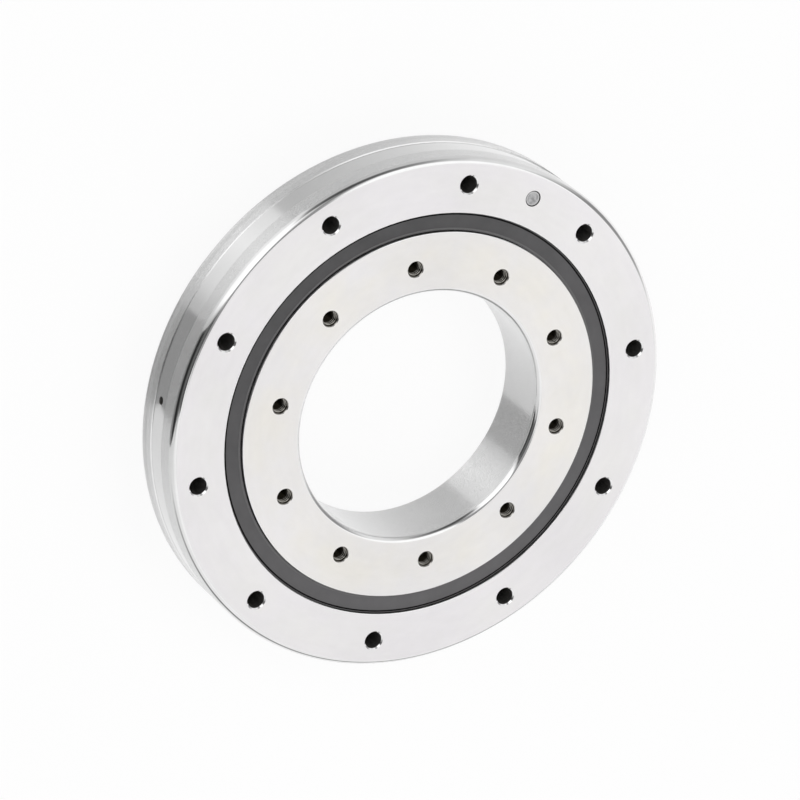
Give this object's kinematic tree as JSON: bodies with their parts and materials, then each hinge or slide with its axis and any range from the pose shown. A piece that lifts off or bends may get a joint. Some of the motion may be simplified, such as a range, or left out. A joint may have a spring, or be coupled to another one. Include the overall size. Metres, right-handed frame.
{
  "type": "crossed roller bearing",
  "caption": "Flat ring bearing with crossed cylindrical rollers between bolted one-piece rings: carries radial, axial and tilting loads at a turning joint.",
  "frame": {"origin": "centre of the bearing: on the axis, halfway between the ring faces", "axes": "+Z along the axis, out of the face where the outer ring's holes have no counterbore; +X through the loading plug"},
  "size_m": [0.165, 0.165, 0.022],
  "materials": {
    "ring_steel": "fine ground",
    "seal_rubber": "matte",
    "pin_steel": "dull",
    "roller_steel": "polished",
    "spacer_resin": "moulded"
  },
  "bodies": {
    "outer": {"outer_ring": "ring_steel", "front_seal": "seal_rubber", "rear_seal": "seal_rubber", "loading_plug": "ring_steel", "plug_pin": "pin_steel"},
    "inner": {"inner_ring": "ring_steel"},
    "cage": {"spacers": "spacer_resin"},
    "roller_01": {"roller_01": "roller_steel"},
    "roller_02": {"roller_02": "roller_steel"},
    "roller_03": {"roller_03": "roller_steel"},
    "roller_04": {"roller_04": "roller_steel"},
    "roller_05": {"roller_05": "roller_steel"},
    "roller_06": {"roller_06": "roller_steel"},
    "roller_07": {"roller_07": "roller_steel"},
    "roller_08": {"roller_08": "roller_steel"},
    "roller_09": {"roller_09": "roller_steel"},
    "roller_10": {"roller_10": "roller_steel"},
    "roller_11": {"roller_11": "roller_steel"},
    "roller_12": {"roller_12": "roller_steel"},
    "roller_13": {"roller_13": "roller_steel"},
    "roller_14": {"roller_14": "roller_steel"},
    "roller_15": {"roller_15": "roller_steel"},
    "roller_16": {"roller_16": "roller_steel"},
    "roller_17": {"roller_17": "roller_steel"},
    "roller_18": {"roller_18": "roller_steel"},
    "roller_19": {"roller_19": "roller_steel"},
    "roller_20": {"roller_20": "roller_steel"},
    "roller_21": {"roller_21": "roller_steel"},
    "roller_22": {"roller_22": "roller_steel"},
    "roller_23": {"roller_23": "roller_steel"},
    "roller_24": {"roller_24": "roller_steel"},
    "roller_25": {"roller_25": "roller_steel"},
    "roller_26": {"roller_26": "roller_steel"},
    "roller_27": {"roller_27": "roller_steel"},
    "roller_28": {"roller_28": "roller_steel"},
    "roller_29": {"roller_29": "roller_steel"},
    "roller_30": {"roller_30": "roller_steel"},
    "roller_31": {"roller_31": "roller_steel"},
    "roller_32": {"roller_32": "roller_steel"},
    "roller_33": {"roller_33": "roller_steel"},
    "roller_34": {"roller_34": "roller_steel"},
    "roller_35": {"roller_35": "roller_steel"},
    "roller_36": {"roller_36": "roller_steel"},
    "roller_37": {"roller_37": "roller_steel"},
    "roller_38": {"roller_38": "roller_steel"},
    "roller_39": {"roller_39": "roller_steel"},
    "roller_40": {"roller_40": "roller_steel"}
  },
  "joints": [
    {"name": "inner_spin", "type": "hinge", "parent": "outer", "child": "inner", "pos_m": [0, 0, 0], "axis": [0, 0, 1], "continuous": true},
    {"name": "cage_spin", "type": "hinge", "parent": "outer", "child": "cage", "pos_m": [0, 0, 0], "axis": [0, 0, 1], "continuous": true},
    {"name": "roller_01_spin", "type": "hinge", "parent": "cage", "child": "roller_01", "pos_m": [0.062, 0, 0], "axis": [0.7071, 0, 0.7071], "continuous": true},
    {"name": "roller_02_spin", "type": "hinge", "parent": "cage", "child": "roller_02", "pos_m": [0.06124, 0.0097, 0], "axis": [-0.6984, -0.1106, 0.7071], "continuous": true},
    {"name": "roller_03_spin", "type": "hinge", "parent": "cage", "child": "roller_03", "pos_m": [0.05897, 0.01916, 0], "axis": [0.6725, 0.2185, 0.7071], "continuous": true},
    {"name": "roller_04_spin", "type": "hinge", "parent": "cage", "child": "roller_04", "pos_m": [0.05524, 0.02815, 0], "axis": [-0.63, -0.321, 0.7071], "continuous": true},
    {"name": "roller_05_spin", "type": "hinge", "parent": "cage", "child": "roller_05", "pos_m": [0.05016, 0.03644, 0], "axis": [0.5721, 0.4156, 0.7071], "continuous": true},
    {"name": "roller_06_spin", "type": "hinge", "parent": "cage", "child": "roller_06", "pos_m": [0.04384, 0.04384, 0], "axis": [-0.5, -0.5, 0.7071], "continuous": true},
    {"name": "roller_07_spin", "type": "hinge", "parent": "cage", "child": "roller_07", "pos_m": [0.03644, 0.05016, 0], "axis": [0.4156, 0.5721, 0.7071], "continuous": true},
    {"name": "roller_08_spin", "type": "hinge", "parent": "cage", "child": "roller_08", "pos_m": [0.02815, 0.05524, 0], "axis": [-0.321, -0.63, 0.7071], "continuous": true},
    {"name": "roller_09_spin", "type": "hinge", "parent": "cage", "child": "roller_09", "pos_m": [0.01916, 0.05897, 0], "axis": [0.2185, 0.6725, 0.7071], "continuous": true},
    {"name": "roller_10_spin", "type": "hinge", "parent": "cage", "child": "roller_10", "pos_m": [0.0097, 0.06124, 0], "axis": [-0.1106, -0.6984, 0.7071], "continuous": true},
    {"name": "roller_11_spin", "type": "hinge", "parent": "cage", "child": "roller_11", "pos_m": [0, 0.062, 0], "axis": [0, 0.7071, 0.7071], "continuous": true},
    {"name": "roller_12_spin", "type": "hinge", "parent": "cage", "child": "roller_12", "pos_m": [-0.0097, 0.06124, 0], "axis": [0.1106, -0.6984, 0.7071], "continuous": true},
    {"name": "roller_13_spin", "type": "hinge", "parent": "cage", "child": "roller_13", "pos_m": [-0.01916, 0.05897, 0], "axis": [-0.2185, 0.6725, 0.7071], "continuous": true},
    {"name": "roller_14_spin", "type": "hinge", "parent": "cage", "child": "roller_14", "pos_m": [-0.02815, 0.05524, 0], "axis": [0.321, -0.63, 0.7071], "continuous": true},
    {"name": "roller_15_spin", "type": "hinge", "parent": "cage", "child": "roller_15", "pos_m": [-0.03644, 0.05016, 0], "axis": [-0.4156, 0.5721, 0.7071], "continuous": true},
    {"name": "roller_16_spin", "type": "hinge", "parent": "cage", "child": "roller_16", "pos_m": [-0.04384, 0.04384, 0], "axis": [0.5, -0.5, 0.7071], "continuous": true},
    {"name": "roller_17_spin", "type": "hinge", "parent": "cage", "child": "roller_17", "pos_m": [-0.05016, 0.03644, 0], "axis": [-0.5721, 0.4156, 0.7071], "continuous": true},
    {"name": "roller_18_spin", "type": "hinge", "parent": "cage", "child": "roller_18", "pos_m": [-0.05524, 0.02815, 0], "axis": [0.63, -0.321, 0.7071], "continuous": true},
    {"name": "roller_19_spin", "type": "hinge", "parent": "cage", "child": "roller_19", "pos_m": [-0.05897, 0.01916, 0], "axis": [-0.6725, 0.2185, 0.7071], "continuous": true},
    {"name": "roller_20_spin", "type": "hinge", "parent": "cage", "child": "roller_20", "pos_m": [-0.06124, 0.0097, 0], "axis": [0.6984, -0.1106, 0.7071], "continuous": true},
    {"name": "roller_21_spin", "type": "hinge", "parent": "cage", "child": "roller_21", "pos_m": [-0.062, 0, 0], "axis": [-0.7071, 0, 0.7071], "continuous": true},
    {"name": "roller_22_spin", "type": "hinge", "parent": "cage", "child": "roller_22", "pos_m": [-0.06124, -0.0097, 0], "axis": [0.6984, 0.1106, 0.7071], "continuous": true},
    {"name": "roller_23_spin", "type": "hinge", "parent": "cage", "child": "roller_23", "pos_m": [-0.05897, -0.01916, 0], "axis": [-0.6725, -0.2185, 0.7071], "continuous": true},
    {"name": "roller_24_spin", "type": "hinge", "parent": "cage", "child": "roller_24", "pos_m": [-0.05524, -0.02815, 0], "axis": [0.63, 0.321, 0.7071], "continuous": true},
    {"name": "roller_25_spin", "type": "hinge", "parent": "cage", "child": "roller_25", "pos_m": [-0.05016, -0.03644, 0], "axis": [-0.5721, -0.4156, 0.7071], "continuous": true},
    {"name": "roller_26_spin", "type": "hinge", "parent": "cage", "child": "roller_26", "pos_m": [-0.04384, -0.04384, 0], "axis": [0.5, 0.5, 0.7071], "continuous": true},
    {"name": "roller_27_spin", "type": "hinge", "parent": "cage", "child": "roller_27", "pos_m": [-0.03644, -0.05016, 0], "axis": [-0.4156, -0.5721, 0.7071], "continuous": true},
    {"name": "roller_28_spin", "type": "hinge", "parent": "cage", "child": "roller_28", "pos_m": [-0.02815, -0.05524, 0], "axis": [0.321, 0.63, 0.7071], "continuous": true},
    {"name": "roller_29_spin", "type": "hinge", "parent": "cage", "child": "roller_29", "pos_m": [-0.01916, -0.05897, 0], "axis": [-0.2185, -0.6725, 0.7071], "continuous": true},
    {"name": "roller_30_spin", "type": "hinge", "parent": "cage", "child": "roller_30", "pos_m": [-0.0097, -0.06124, 0], "axis": [0.1106, 0.6984, 0.7071], "continuous": true},
    {"name": "roller_31_spin", "type": "hinge", "parent": "cage", "child": "roller_31", "pos_m": [0, -0.062, 0], "axis": [0, -0.7071, 0.7071], "continuous": true},
    {"name": "roller_32_spin", "type": "hinge", "parent": "cage", "child": "roller_32", "pos_m": [0.0097, -0.06124, 0], "axis": [-0.1106, 0.6984, 0.7071], "continuous": true},
    {"name": "roller_33_spin", "type": "hinge", "parent": "cage", "child": "roller_33", "pos_m": [0.01916, -0.05897, 0], "axis": [0.2185, -0.6725, 0.7071], "continuous": true},
    {"name": "roller_34_spin", "type": "hinge", "parent": "cage", "child": "roller_34", "pos_m": [0.02815, -0.05524, 0], "axis": [-0.321, 0.63, 0.7071], "continuous": true},
    {"name": "roller_35_spin", "type": "hinge", "parent": "cage", "child": "roller_35", "pos_m": [0.03644, -0.05016, 0], "axis": [0.4156, -0.5721, 0.7071], "continuous": true},
    {"name": "roller_36_spin", "type": "hinge", "parent": "cage", "child": "roller_36", "pos_m": [0.04384, -0.04384, 0], "axis": [-0.5, 0.5, 0.7071], "continuous": true},
    {"name": "roller_37_spin", "type": "hinge", "parent": "cage", "child": "roller_37", "pos_m": [0.05016, -0.03644, 0], "axis": [0.5721, -0.4156, 0.7071], "continuous": true},
    {"name": "roller_38_spin", "type": "hinge", "parent": "cage", "child": "roller_38", "pos_m": [0.05524, -0.02815, 0], "axis": [-0.63, 0.321, 0.7071], "continuous": true},
    {"name": "roller_39_spin", "type": "hinge", "parent": "cage", "child": "roller_39", "pos_m": [0.05897, -0.01916, 0], "axis": [0.6725, -0.2185, 0.7071], "continuous": true},
    {"name": "roller_40_spin", "type": "hinge", "parent": "cage", "child": "roller_40", "pos_m": [0.06124, -0.0097, 0], "axis": [-0.6984, 0.1106, 0.7071], "continuous": true}
  ],
  "couplings": [
    {"joint": "cage_spin", "follows": "inner_spin", "ratio": 0.47719},
    {"joint": "roller_01_spin", "follows": "inner_spin", "ratio": -7.7339},
    {"joint": "roller_02_spin", "follows": "inner_spin", "ratio": -7.7339},
    {"joint": "roller_03_spin", "follows": "inner_spin", "ratio": -7.7339},
    {"joint": "roller_04_spin", "follows": "inner_spin", "ratio": -7.7339},
    {"joint": "roller_05_spin", "follows": "inner_spin", "ratio": -7.7339},
    {"joint": "roller_06_spin", "follows": "inner_spin", "ratio": -7.7339},
    {"joint": "roller_07_spin", "follows": "inner_spin", "ratio": -7.7339},
    {"joint": "roller_08_spin", "follows": "inner_spin", "ratio": -7.7339},
    {"joint": "roller_09_spin", "follows": "inner_spin", "ratio": -7.7339},
    {"joint": "roller_10_spin", "follows": "inner_spin", "ratio": -7.7339},
    {"joint": "roller_11_spin", "follows": "inner_spin", "ratio": -7.7339},
    {"joint": "roller_12_spin", "follows": "inner_spin", "ratio": -7.7339},
    {"joint": "roller_13_spin", "follows": "inner_spin", "ratio": -7.7339},
    {"joint": "roller_14_spin", "follows": "inner_spin", "ratio": -7.7339},
    {"joint": "roller_15_spin", "follows": "inner_spin", "ratio": -7.7339},
    {"joint": "roller_16_spin", "follows": "inner_spin", "ratio": -7.7339},
    {"joint": "roller_17_spin", "follows": "inner_spin", "ratio": -7.7339},
    {"joint": "roller_18_spin", "follows": "inner_spin", "ratio": -7.7339},
    {"joint": "roller_19_spin", "follows": "inner_spin", "ratio": -7.7339},
    {"joint": "roller_20_spin", "follows": "inner_spin", "ratio": -7.7339},
    {"joint": "roller_21_spin", "follows": "inner_spin", "ratio": -7.7339},
    {"joint": "roller_22_spin", "follows": "inner_spin", "ratio": -7.7339},
    {"joint": "roller_23_spin", "follows": "inner_spin", "ratio": -7.7339},
    {"joint": "roller_24_spin", "follows": "inner_spin", "ratio": -7.7339},
    {"joint": "roller_25_spin", "follows": "inner_spin", "ratio": -7.7339},
    {"joint": "roller_26_spin", "follows": "inner_spin", "ratio": -7.7339},
    {"joint": "roller_27_spin", "follows": "inner_spin", "ratio": -7.7339},
    {"joint": "roller_28_spin", "follows": "inner_spin", "ratio": -7.7339},
    {"joint": "roller_29_spin", "follows": "inner_spin", "ratio": -7.7339},
    {"joint": "roller_30_spin", "follows": "inner_spin", "ratio": -7.7339},
    {"joint": "roller_31_spin", "follows": "inner_spin", "ratio": -7.7339},
    {"joint": "roller_32_spin", "follows": "inner_spin", "ratio": -7.7339},
    {"joint": "roller_33_spin", "follows": "inner_spin", "ratio": -7.7339},
    {"joint": "roller_34_spin", "follows": "inner_spin", "ratio": -7.7339},
    {"joint": "roller_35_spin", "follows": "inner_spin", "ratio": -7.7339},
    {"joint": "roller_36_spin", "follows": "inner_spin", "ratio": -7.7339},
    {"joint": "roller_37_spin", "follows": "inner_spin", "ratio": -7.7339},
    {"joint": "roller_38_spin", "follows": "inner_spin", "ratio": -7.7339},
    {"joint": "roller_39_spin", "follows": "inner_spin", "ratio": -7.7339},
    {"joint": "roller_40_spin", "follows": "inner_spin", "ratio": -7.7339}
  ]
}
